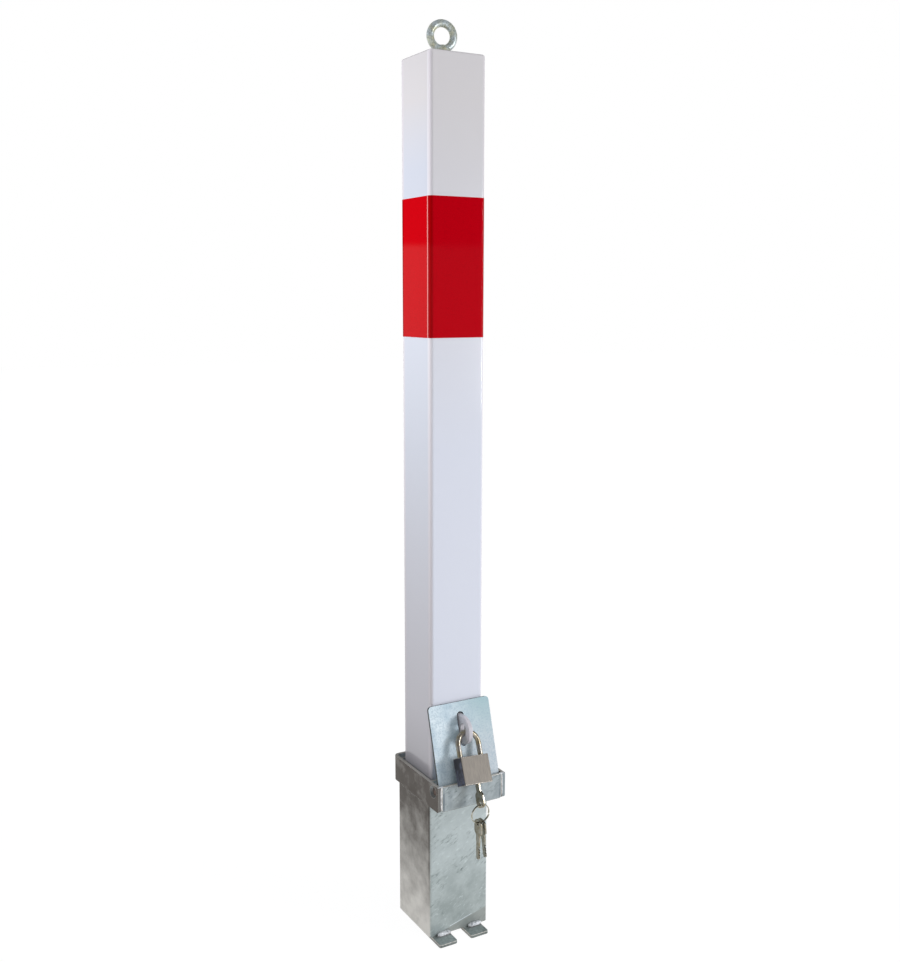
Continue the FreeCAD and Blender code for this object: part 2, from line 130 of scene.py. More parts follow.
world = bpy.data.worlds.new("studio")
world.use_nodes = True
sky = world.node_tree
sky.nodes.clear()
direction = node(sky, "ShaderNodeTexCoord").outputs["Generated"]
height = node(sky, "ShaderNodeSeparateXYZ", {0: direction}).outputs["Z"]
grade = node(sky, "ShaderNodeMapRange", {
    0: height, 1: backdrop_dim_from, 2: backdrop_dim_to, 3: 1.0, 4: backdrop_dim}).outputs[0]
camera_ray = node(sky, "ShaderNodeLightPath").outputs["Is Camera Ray"]
backdrop_level = node(sky, "ShaderNodeMath", {0: camera_ray, 1: grade}, operation="MAXIMUM")
frontal = node(sky, "ShaderNodeVectorMath", {0: direction, 1: front_direction},
               operation="DOT_PRODUCT").outputs["Value"]
ambient_level = node(sky, "ShaderNodeMapRange", {
    0: frontal, 1: ambient_from, 2: ambient_to, 3: ambient_back, 4: ambient_front})
ambient = node(sky, "ShaderNodeBackground", {
    "Color": ambient_tint, "Strength": ambient_level.outputs[0]})
backdrop = node(sky, "ShaderNodeBackground", {
    "Color": "#FFFFFF", "Strength": backdrop_level.outputs[0]})
sky_mix = node(sky, "ShaderNodeMixShader", {
    0: sees_background(sky), 1: ambient.outputs[0], 2: backdrop.outputs[0]})
node(sky, "ShaderNodeOutputWorld", {"Surface": sky_mix.outputs[0]})
bpy.context.scene.world = world

floor_bm = bmesh.new()
bmesh.ops.create_grid(floor_bm, x_segments=1, y_segments=1, size=floor_size / 2)
bmesh.ops.translate(floor_bm, verts=floor_bm.verts, vec=(0, 0, cad_box[0][2]))
floor_mesh = bpy.data.meshes.new("floor")
floor_bm.to_mesh(floor_mesh)
floor_bm.free()
floor = bpy.data.objects.new("floor", floor_mesh)
bpy.context.scene.collection.objects.link(floor)
floor_paint = bpy.data.materials.new("white_floor")
floor_paint.use_nodes = True
tree = floor_paint.node_tree
tree.nodes.clear()
matt = node(tree, "ShaderNodeBsdfDiffuse", {"Color": floor_matt})
glow = node(tree, "ShaderNodeEmission", {"Color": "#FFFFFF", "Strength": floor_glow})
shaded_glow = node(tree, "ShaderNodeMixShader", {
    0: floor_shadow_share, 1: glow.outputs[0], 2: matt.outputs[0]})
floor_mix = node(tree, "ShaderNodeMixShader", {
    0: sees_background(tree), 1: matt.outputs[0], 2: shaded_glow.outputs[0]})
node(tree, "ShaderNodeOutputMaterial", {"Surface": floor_mix.outputs[0]})
floor_mesh.materials.append(floor_paint)


def soft_lamp(name, place, target, side, watts, spread_deg):
    """Square lamp aimed at a point; the spread is the angle that its beam keeps to."""
    data = bpy.data.lights.new(name, "AREA")
    data.shape = "RECTANGLE"
    data.size = data.size_y = side
    data.energy = watts
    data.color = colour(lamp_tint)[:3]
    data.spread = math.radians(spread_deg)
    lamp = bpy.data.objects.new(name, data)
    lamp.location = place
    lamp.rotation_mode = "QUATERNION"
    lamp.rotation_quaternion = (Vector(target) - Vector(place)).to_track_quat("-Z", "Y")
    bpy.context.scene.collection.objects.link(lamp)
    return lamp


lamp_left = soft_lamp("lamp_left", place=(-1.8, 0.8, 1.5), target=(0, 0, 0.8), side=0.5,
                      watts=2.5, spread_deg=44)
lamp_left.visible_glossy = False
soft_lamp("lamp_right_front", place=(1.8, -2.1, 0.7), target=(0, 0, 0.3), side=0.8,
          watts=10.5, spread_deg=100)


# Socket tube
# Square steel tube that is set in the ground, hot-dip galvanised. Its zinc is mottled, with
# rubbed slanting streaks on the front, and its left side wall is dark brown at the top and pale
# at the foot.
weld_together = 0.001 * MM
same_line = 0.1 * MM
flat_angle, sharp_angle = math.radians(0.5), math.radians(28)


def broken(bm, edges, width, segments=2):
    """Breaks edges with a bevel of so many millimetres, and gives what it made."""
    return bmesh.ops.bevel(bm, geom=edges, offset=width * MM, segments=segments, profile=0.5,
                           affect="EDGES", clamp_overlap=True, material=-1)


def eased(node_name, width, segments=2, low_front_radius=0):
    """Copy of a CAD node's shape with its sharp edges broken by so many millimetres."""
    bm = bmesh.new()
    bm.from_mesh(frame["nodes"][node_name].data)
    bmesh.ops.remove_doubles(bm, verts=bm.verts, dist=weld_together)
    bmesh.ops.dissolve_limit(bm, angle_limit=flat_angle, verts=bm.verts, edges=bm.edges)
    if low_front_radius:
        low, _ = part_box(node_name)
        low_front = [edge for edge in bm.edges
                     if all(abs(vert.co.y - low.y) + abs(vert.co.z - low.z) < same_line
                            for vert in edge.verts)]
        broken(bm, low_front, low_front_radius, segments=5)
    sharp = [edge for edge in bm.edges
             if edge.is_manifold and edge.calc_face_angle() > sharp_angle]
    for face in broken(bm, sharp, width, segments)["faces"]:
        face.material_index = 1
    return bm


def piece(name, bm, finish, body, nodes, edge_finish=None):
    """Makes a bmesh a piece that moves with a body and stands for CAD nodes."""
    mesh = bpy.data.meshes.new(name)
    bm.to_mesh(mesh)
    bm.free()
    mesh.shade_smooth()
    mesh.set_sharp_from_angle(angle=sharp_angle)
    mesh.materials.append(finish)
    mesh.materials.append(edge_finish or finish)
    made = bpy.data.objects.new(name, mesh)
    bpy.context.scene.collection.objects.link(made)
    even = made.modifiers.new("even_normals", "WEIGHTED_NORMAL")
    even.keep_sharp = True
    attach(made, body)
    if nodes:
        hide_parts(*nodes)
    return made


def surface(name, **sockets):
    """Material with a plain shader; the sockets are given by their names in small letters."""
    made = bpy.data.materials.new(name)
    made.use_nodes = True
    shader = made.node_tree.nodes["Principled BSDF"]
    for socket, value in sockets.items():
        shader.inputs[socket.replace("_", " ").title().replace("Ior", "IOR")].default_value = value
    return made, made.node_tree, shader


def per_metre(size_mm):
    """Texture scale that gives a pattern features of this size."""
    return 1 / (size_mm * MM)


def fades(tree, under, over, reading, span, share=(0.0, 1.0)):
    """Lays a colour over another by a share that follows a reading; gives colour and share."""
    part = node(tree, "ShaderNodeMapRange", {
        0: reading, 1: span[0], 2: span[1], 3: share[0], 4: share[1]}).outputs[0]
    mixed = node(tree, "ShaderNodeMix", {0: part, 6: under, 7: over}, data_type="RGBA")
    return mixed.outputs[2], part


def mottle(tree, spot, size_mm, span, under, over, detail=3, roughness=0.5, share=(0.0, 1.0)):
    """Clouds of one colour on another; gives the colour, its share and the noise under it."""
    cloud = node(tree, "ShaderNodeTexNoise", {
        "Vector": spot, "Scale": per_metre(size_mm), "Detail": detail,
        "Roughness": roughness}).outputs[0]
    return (*fades(tree, under, over, cloud, span, share), cloud)


def laid_over(tree, under, over, part, limit, *more_limits):
    """Lays a colour over another by a share that two or more parts give together."""
    for factor in (limit, *more_limits):
        part = node(tree, "ShaderNodeMath", {0: part, 1: factor}, operation="MULTIPLY").outputs[0]
    return node(tree, "ShaderNodeMix", {0: part, 6: under, 7: over}, data_type="RGBA").outputs[2]


# Hot-dip zinc: clouded silver, lighter towards the top, with short dark scratches that slant up
# to the right, duller and rubbed on the collar, with a ridge of zinc low on the front. Where it
# faces left it is dark brown at the rim and pale at the foot, with painted shade in a strip
# beside the tube's front edge. The stop bars are dirty, with painted shade on their sides and
# next to the welds. Spans are in metres, heights from the rim.
cloud_size, dirt_size, pit_size = 30, 5, 2.2
scratch_size, scratch_patch_size, scratch_slope_deg, scratch_stretch = 3.8, 34, 33, (3, 1.6, 1)
smear_size, smear_stretch = 18, (1, 1.7, 1.5)
upper_span, collar_span, bars_span = (-0.22, -0.12), (-0.046, -0.036), (-0.2645, -0.2655)
bead_shade_span, u_end_shade_span = (-0.061, -0.058), (0.0, 0.01)
left_wall_from, left_wall_to, arris_from, arris_to = -0.25, -0.05, -0.215, -0.15
arris_y, arris_reach = -50.2 * MM, 2 * MM
tube_side, tube_side_reach = 52 * MM, 0.8 * MM
bar_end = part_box("collar_front_bar")[1].x
bar_end_blend, undercut_shade_in, undercut_shade_reach = 0.3 * MM, 4.2 * MM, 2 * MM
ridge_left, ridge_right = Vector((-16.4, -52, -255.8)) * MM, Vector((23.8, -52, -245.5)) * MM
ridge_down = (ridge_right - ridge_left).cross(Vector((0, -1, 0))).normalized()
ridge_depth = ridge_down.dot(ridge_left)
ridge_highlight_width, ridge_fade, ridge_highlight_share = 1.4 * MM, 1.5 * MM, 0.75

galvanised, tree, shader = surface("hot_dip_galvanised_steel", metallic=0.4, roughness=0.4)
place = node(tree, "ShaderNodeTexCoord").outputs
spot = place["Object"]
level = node(tree, "ShaderNodeSeparateXYZ", {0: spot}).outputs
facing = node(tree, "ShaderNodeSeparateXYZ", {0: place["Normal"]}).outputs
zinc, cloud_part, cloud = mottle(tree, spot, cloud_size, (0.38, 0.62), "#949E9B", "#B2BBB8",
                                 detail=6, roughness=0.62)
zinc, _ = fades(tree, zinc, "#D6E0E0", level["Z"], upper_span, (0.1, 0.5))
zinc, collar_part = fades(tree, zinc, "#ADB6B8", level["Z"], collar_span, (0.0, 0.8))

# Dark scratches that come in patches, and bright ones between them.
along_slope = node(tree, "ShaderNodeMapping", {
    "Vector": spot, "Rotation": (0, math.radians(-scratch_slope_deg), 0),
    "Scale": scratch_stretch}, vector_type="TEXTURE").outputs[0]
scratch = node(tree, "ShaderNodeTexNoise", {
    "Vector": along_slope, "Scale": per_metre(scratch_size), "Detail": 5, "Roughness": 0.7,
    "Distortion": 0.5}).outputs[0]
scratch_line = node(tree, "ShaderNodeMapRange", {0: scratch, 1: 0.53, 2: 0.68}).outputs[0]
patch = node(tree, "ShaderNodeTexNoise", {
    "Vector": spot, "Scale": per_metre(scratch_patch_size), "Detail": 3}).outputs[0]
patch_part = node(tree, "ShaderNodeMapRange", {
    0: patch, 1: 0.46, 2: 0.6, 3: 0.08, 4: 1.0}).outputs[0]
zinc = laid_over(tree, zinc, "#64716D", scratch_line, patch_part)
zinc, _ = fades(tree, zinc, "#DDE7E6", scratch, (0.42, 0.3), (0.0, 0.6))

# Rubbed places on the collar, and a line of painted shade beside each of its corner seams, in
# place of the shade of the welds' undercut.
smear_place = node(tree, "ShaderNodeMapping", {"Vector": spot, "Scale": smear_stretch},
                   vector_type="TEXTURE").outputs[0]
smear = node(tree, "ShaderNodeTexNoise", {
    "Vector": smear_place, "Scale": per_metre(smear_size), "Detail": 6,
    "Roughness": 0.6}).outputs[0]
rubbed = node(tree, "ShaderNodeMapRange", {0: smear, 1: 0.42, 2: 0.58, 3: 0.5, 4: 0.0}).outputs[0]
zinc = laid_over(tree, zinc, "#747F84", rubbed, collar_part)
outward = node(tree, "ShaderNodeMath", {0: level["X"]}, operation="ABSOLUTE").outputs[0]
undercut_shade = node(tree, "ShaderNodeMath", {
    0: outward, 1: bar_end - undercut_shade_in, 2: undercut_shade_reach}, operation="COMPARE").outputs[0]
zinc = laid_over(tree, zinc, "#6C767C", undercut_shade, collar_part, cloud_part)

# The ridge: duller below it, with a painted highlight along its crest.
front_part = node(tree, "ShaderNodeMapRange", {0: facing["Y"], 1: -0.3, 2: -0.8}).outputs[0]
below_ridge = node(tree, "ShaderNodeVectorMath", {0: spot, 1: tuple(ridge_down)},
                   operation="DOT_PRODUCT").outputs["Value"]
ridge_part = node(tree, "ShaderNodeMapRange", {
    0: below_ridge, 1: ridge_depth, 2: ridge_depth + ridge_fade, 3: 0.0, 4: 0.6}).outputs[0]
zinc = laid_over(tree, zinc, "#93958E", ridge_part, front_part)
ridge_highlight_line = node(tree, "ShaderNodeMath", {
    0: below_ridge, 1: ridge_depth - ridge_highlight_width / 2, 2: ridge_highlight_width / 2},
    operation="COMPARE").outputs[0]
ridge_middle = node(tree, "ShaderNodeMath", {
    0: level["X"], 1: (ridge_left.x + ridge_right.x) / 2, 2: (ridge_right.x - ridge_left.x) / 2},
    operation="COMPARE").outputs[0]
zinc = laid_over(tree, zinc, "#E4ECEE", ridge_highlight_line, ridge_middle, ridge_highlight_share)

# The stop bars' dirt, with painted shade next to the welds; the pale rim; and the ends of the U
# beside the front bar, painted dark as shade.
dirt_and_bead_shade, _, _ = mottle(tree, spot, dirt_size, (0.42, 0.58), "#838E89", "#BCC7C2",
                     detail=5, roughness=0.65)
dirt_and_bead_shade, _ = fades(tree, dirt_and_bead_shade, "#4A4642", level["Y"], bead_shade_span, (0.0, 0.85))
zinc, bars_part = fades(tree, zinc, dirt_and_bead_shade, level["Z"], bars_span, (0.0, 0.75))
# The rim's top is paler: rubbed zinc, with a painted highlight over it.
rim_part = node(tree, "ShaderNodeMapRange", {0: facing["Z"], 1: 0.5, 2: 0.9}).outputs[0]
zinc = laid_over(tree, zinc, "#DDD7CB", rim_part, collar_part)
# Painted shade on the ends of the U beside the front bar, darkest on the left.
end_shade_part = node(tree, "ShaderNodeMapRange", {
    0: outward, 1: bar_end, 2: bar_end + bar_end_blend}).outputs[0]
end_face = node(tree, "ShaderNodeMapRange", {
    0: facing["Y"], 1: -0.6, 2: -0.9, 3: 0.0, 4: 0.85}).outputs[0]
u_end_shade, _ = fades(tree, "#6A645E", "#8E989B", level["X"], u_end_shade_span)
zinc = laid_over(tree, zinc, u_end_shade, end_shade_part, end_face)

# The left side's tone, dark brown at the rim and pale at the foot, painted shade in a strip
# beside the tube's front edge, and painted shade on the bars' sides.
left_wall_level = node(tree, "ShaderNodeMapRange", {
    0: level["Z"], 1: left_wall_from, 2: left_wall_to, 3: 0.5, 4: -0.42}).outputs[0]
left_wall_sum = node(tree, "ShaderNodeMath", {0: smear, 1: left_wall_level}, operation="ADD").outputs[0]
left_wall_tone, _ = fades(tree, "#40301E", "#F2EEE6", left_wall_sum, (0.08, 1.05))
zinc, left_part = fades(tree, zinc, left_wall_tone, facing["X"], (-0.5, -0.9), (0.0, 0.92))
arris_shade_strip = node(tree, "ShaderNodeMath", {0: level["Y"], 1: arris_y, 2: arris_reach},
                  operation="COMPARE").outputs[0]
on_tube = node(tree, "ShaderNodeMath", {0: outward, 1: tube_side, 2: tube_side_reach},
               operation="COMPARE").outputs[0]
arris_shade_part = node(tree, "ShaderNodeMapRange", {
    0: level["Z"], 1: arris_from, 2: arris_to, 3: 0.0, 4: 0.65}).outputs[0]
zinc = laid_over(tree, zinc, "#3E3833", arris_shade_strip, on_tube, arris_shade_part, left_part)
# Painted shade: the stop bars' sides are darker.
bar_side_shade = node(tree, "ShaderNodeMapRange", {
    0: facing["Z"], 1: 0.7, 2: 0.3, 3: 0.0, 4: 0.9}).outputs[0]
zinc = laid_over(tree, zinc, "#5C625E", bar_side_shade, bars_part)
tree.links.new(zinc, shader.inputs["Base Color"])
dullness = node(tree, "ShaderNodeMapRange", {0: cloud, 1: 0.3, 2: 0.7, 3: 0.34, 4: 0.5})
tree.links.new(dullness.outputs[0], shader.inputs["Roughness"])
pits = node(tree, "ShaderNodeTexNoise", {
    "Vector": spot, "Scale": per_metre(pit_size), "Detail": 3}).outputs[0]
relief = node(tree, "ShaderNodeBump", {"Strength": 0.2, "Distance": 0.1 * MM, "Height": pits})
tree.links.new(relief.outputs[0], shader.inputs["Normal"])

# Worn zinc: the handled edges are rubbed down to a paler, warmer metal. The edges that face
# down are painted dark as shade, browner where they also face left.
worn_zinc, tree, shader = surface("worn_zinc_edge", metallic=0.45, roughness=0.3)
place = node(tree, "ShaderNodeTexCoord").outputs
facing = node(tree, "ShaderNodeSeparateXYZ", {0: place["Normal"]}).outputs
wear_and_shade, _, _ = mottle(tree, place["Object"], 6, (0.42, 0.6), "#F6F3EC", "#C2BEB4",
                    detail=4, roughness=0.6)
low_edge_shade, _ = fades(tree, "#646B68", "#4E463E", facing["X"], (-0.2, -0.4))
wear_and_shade, _ = fades(tree, wear_and_shade, low_edge_shade, facing["Z"], (-0.1, -0.3))
tree.links.new(wear_and_shade, shader.inputs["Base Color"])

piece("socket_tube_eased", eased("socket_tube", width=0.5), galvanised, "socket",
      ["socket_tube"], worn_zinc)


# Stop bars
# Two flat bars under the tube, which carry the post. They are welded on before the socket is
# galvanised, so they have the same zinc, and their sheared edges are a little rounded.
for bar in ("stop_bar_left", "stop_bar_right"):
    piece(bar + "_eased", eased(bar, width=0.8), galvanised, "socket",
          [bar], worn_zinc)


# Collar
# Flat bar on edge, bent to a U round the socket's head, and a straight bar let in between its
# ends. Both are rounded along their edges by the rolling, and the zinc there is rubbed bright.
piece("collar_band_eased", eased("collar_band", width=1.4, low_front_radius=4), galvanised,
      "socket", ["collar_band"], worn_zinc)
piece("collar_front_bar_eased", eased("collar_front_bar", width=0.9), galvanised,
      "socket", ["collar_front_bar"], worn_zinc)


# Weld beads
# Short arc welds, lumpy and silvery where the zinc covers them: on the stop bars, under the
# collar, and down the two seams between the front bar and the ends of the U.
bead_sides, bead_ring_gap, bead_least_rings = 14, 1.2, 6
end_swell, end_growth = 0.28, 3.2
lump_share, lump_rate, ripple_share, ripple_rate = 0.22, 0.45, 0.06, 1.9


def weld_bead(name, start, end, width, height, seed, nodes, finish=None):
    """Lumpy bead along a line, in millimetres; its width and height are vectors."""
    start, end = Vector(start) * MM, Vector(end) * MM
    width, height = Vector(width) * MM, Vector(height) * MM
    along = end - start
    rings = max(bead_least_rings, round(along.length / (bead_ring_gap * MM)))
    bm = bmesh.new()
    bmesh.ops.create_circle(bm, segments=bead_sides, radius=1)
    last = bm.edges[:]
    for _ in range(rings):
        grown = bmesh.ops.extrude_edge_only(bm, edges=last)["geom"]
        last = [item for item in grown
                if isinstance(item, bmesh.types.BMEdge) and item.is_boundary]
        bmesh.ops.translate(bm, vec=(0, 0, 1 / rings), verts=[
            item for item in grown if isinstance(item, bmesh.types.BMVert)])
    bmesh.ops.holes_fill(bm, edges=bm.edges, sides=0)
    for vert in bm.verts:
        share = vert.co.z
        taper = min(1.0, (end_swell + end_growth * min(share, 1 - share)) ** 0.5)
        lump = 1 + lump_share * noise.noise(
            Vector((vert.co.x, vert.co.y, share * rings * lump_rate + seed)))
        ripple = 1 + ripple_share * math.sin(share * rings * ripple_rate + seed)
        across = width * vert.co.x + height * vert.co.y
        vert.co = start + along * share + across * (taper * lump * ripple)
    bmesh.ops.recalc_face_normals(bm, faces=bm.faces)
    return piece(name, bm, finish or weld_metal, "socket", nodes)


# Weld metal: rippled, silvery, with darker burnt patches and a brown tint underneath.
weld_metal, tree, shader = surface("galvanised_weld_bead", metallic=0.2, roughness=0.38)
place = node(tree, "ShaderNodeTexCoord").outputs
facing = node(tree, "ShaderNodeSeparateXYZ", {0: place["Normal"]}).outputs
bead, _, burnt = mottle(tree, place["Object"], 5, (0.48, 0.66), "#F0F2F2", "#8F9296",
                        detail=4, roughness=0.6, share=(0.0, 0.85))
bead, _ = fades(tree, bead, "#8E7468", facing["Z"], (0.1, -0.6), (0.0, 0.8))
tree.links.new(bead, shader.inputs["Base Color"])
relief = node(tree, "ShaderNodeBump", {"Strength": 0.5, "Distance": 0.25 * MM, "Height": burnt})
tree.links.new(relief.outputs[0], shader.inputs["Normal"])

tube_low, tube_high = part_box("socket_tube")
foot_low, foot_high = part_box("foot_welds")
foot_length, foot_reach, foot_out = 23, 3.9, 1.9
y, z = tube_low.y / MM - foot_out, tube_low.z / MM + foot_out
for hand, x, seed, nodes in (("left", foot_low.x / MM, 3.1, ["foot_welds"]),
                             ("right", foot_high.x / MM - foot_length, 11.7, [])):
    weld_bead("foot_weld_" + hand, (x, y, z), (x + foot_length, y, z),
              (0, -foot_reach, 0), (0, 0, foot_reach), seed, nodes)

under_low, under_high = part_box("collar_welds")
under_reach, under_out, under_down = 2.6, 2.4, 2.2
z = under_high.z / MM - under_down
for hand, side, tube_x, nodes in (("left", -1, tube_low.x / MM, ["collar_welds"]),
                                  ("right", 1, tube_high.x / MM, [])):
    x = tube_x + side * under_out
    weld_bead("collar_weld_" + hand, (x, under_low.y / MM, z), (x, under_high.y / MM, z),
              (side * under_reach, 0, 0), (0, 0, under_reach), 5.3 + side, nodes, galvanised)

bar_low, bar_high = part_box("collar_front_bar")
seam_reach, seam_in, seam_above_foot, seam_below_rim = 1.1, 0.7, 5, 0.4
rim_half_length, rim_in, rim_down, rim_width, rim_height = 5, 1.4, 0.6, 2.1, 1.4
y = bar_low.y / MM + seam_in
z = bar_high.z / MM - rim_down
for hand, side, x in (("left", -1, bar_low.x / MM), ("right", 1, bar_high.x / MM)):
    weld_bead("seam_weld_" + hand, (x, y, bar_low.z / MM + seam_above_foot),
              (x, y, bar_high.z / MM - seam_below_rim),
              (seam_reach, 0, 0), (0, -seam_reach, 0), 20.5 + side, [])
    weld_bead("rim_weld_" + hand, (x - rim_half_length, y + rim_in, z),
              (x + rim_half_length, y + rim_in, z),
              (0, rim_width, 0), (0, 0, rim_height), 31.5 + side, [])


# Hinge pin
# Plain steel bar whose ends lie in the countersinks of the collar's sides. It isn't
# galvanised, so the end that shows is dark brown with rust.
def clouded_metal(name, size_mm, span, under, over, detail=3, **sockets):
    """Metal whose colour wanders between two tones in clouds of one size."""
    made, tree, shader = surface(name, **sockets)
    spot = node(tree, "ShaderNodeTexCoord").outputs["Object"]
    tone, _, _ = mottle(tree, spot, size_mm, span, under, over, detail)
    tree.links.new(tone, shader.inputs["Base Color"])
    return made


pin_steel = clouded_metal("hinge_pin_bar", 4, (0.4, 0.6), "#5E4638", "#2E2723",
                          metallic=0.7, roughness=0.35)
piece("hinge_pin_eased", eased("hinge_pin", width=0.3), pin_steel, "socket",
      ["hinge_pin"])


# Post and cap
# Square tube with a cap welded on and ground flush, then powder coated white. The coat is
# glossy with a faint orange peel and thick enough to round the edges; its corners are painted
# lighter and warmer as a highlight.
def beyond(tree, reading, from_mm, to_mm):
    """Factor that grows from 0 to 1 between two distances from the post's middle plane."""
    distance = node(tree, "ShaderNodeMath", {0: reading}, operation="ABSOLUTE").outputs[0]
    return node(tree, "ShaderNodeMapRange", {
        0: distance, 1: from_mm * MM, 2: to_mm * MM}).outputs[0]


def on_corner(tree, level, side_from, side_to, front_from, front_to):
    """Factor that is 1 on the post's rounded corners and 0 on its flat sides."""
    return node(tree, "ShaderNodeMath", {
        0: beyond(tree, level["Y"], side_from, side_to),
        1: beyond(tree, level["X"], front_from, front_to)}, operation="MULTIPLY").outputs[0]


# Powder coat: white, a little yellower towards the top. Its left side is cooler below the cap,
# warmer low down, where a reflection of the collar is painted in, and greyer at the rim with
# painted shade. A painted glint lies beside the front corner.
peel_size = 1.6
# Each tone of the left side, between two heights in metres, with its greatest share; the lower
# two are a painted reflection and painted shade.
left_tones_and_painted_light = ((1.0, 0.9, 1.0, "#DFE2EA"), (0.5, 0.1, 1.0, "#EAE6EA"), (0.09, 0.01, 0.8, "#D6D2D4"))
glint_y, glint_reach, glint_from, glint_to = -37 * MM, 1.5 * MM, 0.45, 0.75
white_paint, tree, shader = surface("white_powder_coat", roughness=0.08, specular_ior_level=0.5)
place = node(tree, "ShaderNodeTexCoord").outputs
spot = place["Object"]
level = node(tree, "ShaderNodeSeparateXYZ", {0: spot}).outputs
facing = node(tree, "ShaderNodeSeparateXYZ", {0: place["Normal"]}).outputs
left_part = node(tree, "ShaderNodeMapRange", {0: facing["X"], 1: -0.5, 2: -0.9}).outputs[0]
coat, _ = fades(tree, "#E6E8F0", "#E9E4E2", level["Z"], (0.5, 1.0))
for start, end, most, tone in left_tones_and_painted_light:
    height_part = node(tree, "ShaderNodeMapRange", {
        0: level["Z"], 1: start, 2: end, 3: 0.0, 4: most}).outputs[0]
    coat = laid_over(tree, coat, tone, height_part, left_part)
# Painted highlight: a white glint line on the left side beside the front corner.
glint_line = node(tree, "ShaderNodeMath", {0: level["Y"], 1: glint_y, 2: glint_reach},
                  operation="COMPARE").outputs[0]
glint_part = node(tree, "ShaderNodeMapRange", {
    0: level["Z"], 1: glint_from, 2: glint_to, 3: 0.0, 4: 0.7}).outputs[0]
coat = laid_over(tree, coat, "#FFFFFF", glint_line, left_part, glint_part)
# Painted highlight: the rounded corners are lighter and warmer.
lit_corners = node(tree, "ShaderNodeMix", {
    0: on_corner(tree, level, side_from=34, side_to=40, front_from=41, front_to=44),
    6: coat, 7: "#EFE8EA"}, data_type="RGBA")
tree.links.new(lit_corners.outputs[2], shader.inputs["Base Color"])
peel = node(tree, "ShaderNodeTexNoise", {
    "Vector": spot, "Scale": per_metre(peel_size), "Detail": 2}).outputs[0]
relief = node(tree, "ShaderNodeBump", {"Strength": 0.06, "Distance": 0.05 * MM, "Height": peel})
tree.links.new(relief.outputs[0], shader.inputs["Normal"])
for name in ("post_tube", "top_cap"):
    for material_slot in frame["nodes"][name].material_slots:
        material_slot.material = white_paint


# Locking lug
# Thick D-shaped plate welded to the post and painted with it. The coat on it is rougher than on
# the post, and painted greyer as shade. The padlock's shackle hangs in its slot.
lug_paint_in_shade, _, _ = surface("white_coat_in_shade", base_color=colour("#D7D3D6"), roughness=0.2,
                          specular_ior_level=0.4)
piece("locking_lug_eased", eased("locking_lug", width=0.45, segments=3), lug_paint_in_shade, "post",
      ["locking_lug"])


# Reflective band
# Red retroreflective film stuck round the post, glossy plastic over tiny cells. It is painted
# darker as shade at the bends and on the front, and a painted highlight runs as a pale upright
# line on the left side.
cell_size = 3  # coarser than the real cells, so that they show
film_glint_y, film_glint_blend, front_y, front_blend = -35 * MM, 0.5 * MM, -44 * MM, 0.9 * MM
red_film, tree, shader = surface("red_retroreflective_film", roughness=0.03,
                                 specular_ior_level=0.04)
spot = node(tree, "ShaderNodeTexCoord").outputs["Object"]
level = node(tree, "ShaderNodeSeparateXYZ", {0: spot}).outputs
cells = node(tree, "ShaderNodeTexVoronoi", {"Vector": spot, "Scale": per_metre(cell_size)},
             feature="DISTANCE_TO_EDGE").outputs[0]
film, cell_part = fades(tree, "#C9000A", "#D60010", cells, (0.0, 0.12))
# Painted highlight: a pale upright line on the left side.
film_glint = node(tree, "ShaderNodeMapRange", {0: level["Y"], 1: film_glint_y, 2: film_glint_y - film_glint_blend}).outputs[0]
left_half = node(tree, "ShaderNodeMapRange", {0: level["X"], 1: MM, 2: -MM}).outputs[0]
film = laid_over(tree, film, "#F0A09C", film_glint, left_half)
# Painted shade: the front is a darker red.
front_film_shade = node(tree, "ShaderNodeMix", {0: cell_part, 6: "#BC0010", 7: "#C70013"},
                  data_type="RGBA").outputs[2]
film, _ = fades(tree, film, front_film_shade, level["Y"], (front_y, front_y - front_blend))
# Painted shade: the bends are a darker red.
bent_film_shade = node(tree, "ShaderNodeMix", {
    0: on_corner(tree, level, side_from=37, side_to=38, front_from=41.5, front_to=42.5),
    6: film, 7: "#B00008"}, data_type="RGBA")
tree.links.new(bent_film_shade.outputs[2], shader.inputs["Base Color"])
for material_slot in frame["nodes"]["reflective_band"].material_slots:
    material_slot.material = red_film


# Lifting eye
# Forged eye bolt with its washer and nuts, bright zinc plated. The plating is yellowish green
# and blue in turns, and the forged ring is a little uneven.
eye_outer, eye_inner, eye_turn_deg = 46, 24.5, -10
shank_r, shank_length, shank_chamfer = 9.9 / 2, 24, 1
shoulder_r, shoulder_h, shoulder_low_edge, shoulder_high_edge = 25 / 2, 4, 0.6, 0.8
neck_r, neck_h = 12 / 2, 4.5

zinc_plate, tree, shader = surface("bright_zinc_plate", metallic=0.35, roughness=0.36)
spot = node(tree, "ShaderNodeTexCoord").outputs["Object"]
plating, _, _ = mottle(tree, spot, 9, (0.38, 0.62), "#D8E2E2", "#CFCDB0")
plating, _, grain = mottle(tree, spot, 1.8, (0.48, 0.62), plating, "#8A9588", detail=4,
                           share=(0.0, 0.65))
tree.links.new(plating, shader.inputs["Base Color"])
relief = node(tree, "ShaderNodeBump", {"Strength": 0.5, "Distance": 0.35 * MM, "Height": grain})
tree.links.new(relief.outputs[0], shader.inputs["Normal"])

